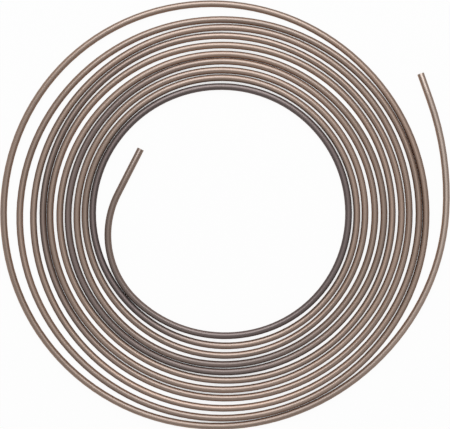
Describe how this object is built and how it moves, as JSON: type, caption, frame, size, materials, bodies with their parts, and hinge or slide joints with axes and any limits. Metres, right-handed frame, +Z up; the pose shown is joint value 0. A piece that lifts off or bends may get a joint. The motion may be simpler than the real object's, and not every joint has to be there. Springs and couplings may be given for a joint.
{
  "type": "coil of brake line tubing",
  "caption": "Flat loose coil of thin satin metal brake line tube, wound in one layer around an open eye, with two bare square-cut ends.",
  "frame": {"origin": "on the floor that the coil lies on, under the middle of its box", "axes": "+Z up out of the flat coil, +X along its longer side, towards the side where the outer end stands off"},
  "size_m": [0.314, 0.3, 0.0048],
  "materials": {
    "cupronickel": "satin drawn copper-nickel, brownish grey"
  },
  "bodies": {
    "root": {"brake_tube": "cupronickel"}
  },
  "joints": []
}
